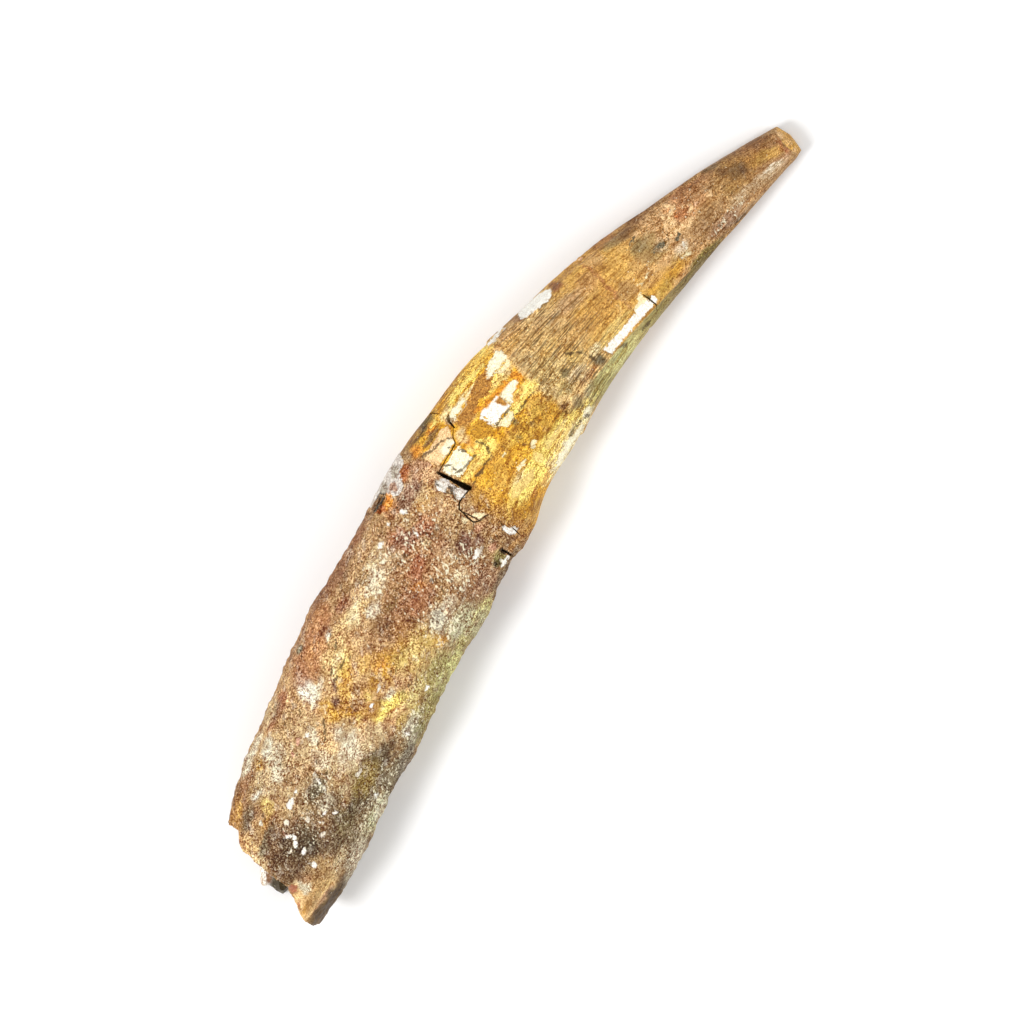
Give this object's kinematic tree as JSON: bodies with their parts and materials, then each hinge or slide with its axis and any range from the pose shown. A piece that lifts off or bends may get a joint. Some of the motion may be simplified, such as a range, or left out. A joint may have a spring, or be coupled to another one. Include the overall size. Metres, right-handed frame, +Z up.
{
  "type": "fossil spinosaur tooth",
  "caption": "Long, gently curved conical fossil tooth with its root, worn blunt at the tip and broken at the root end, lying on its side as a display specimen.",
  "frame": {"origin": "middle of the bounding box's bottom, on the surface that the tooth lies on", "axes": "+X along the tooth from the broken root to the worn tip, +Y across it towards the convex edge, +Z up"},
  "size_m": [0.152, 0.0306, 0.0206],
  "materials": {
    "fossil": "dull, sandy on the root and satin on the crown's enamel"
  },
  "bodies": {
    "root": {"tooth": "fossil"}
  },
  "joints": []
}
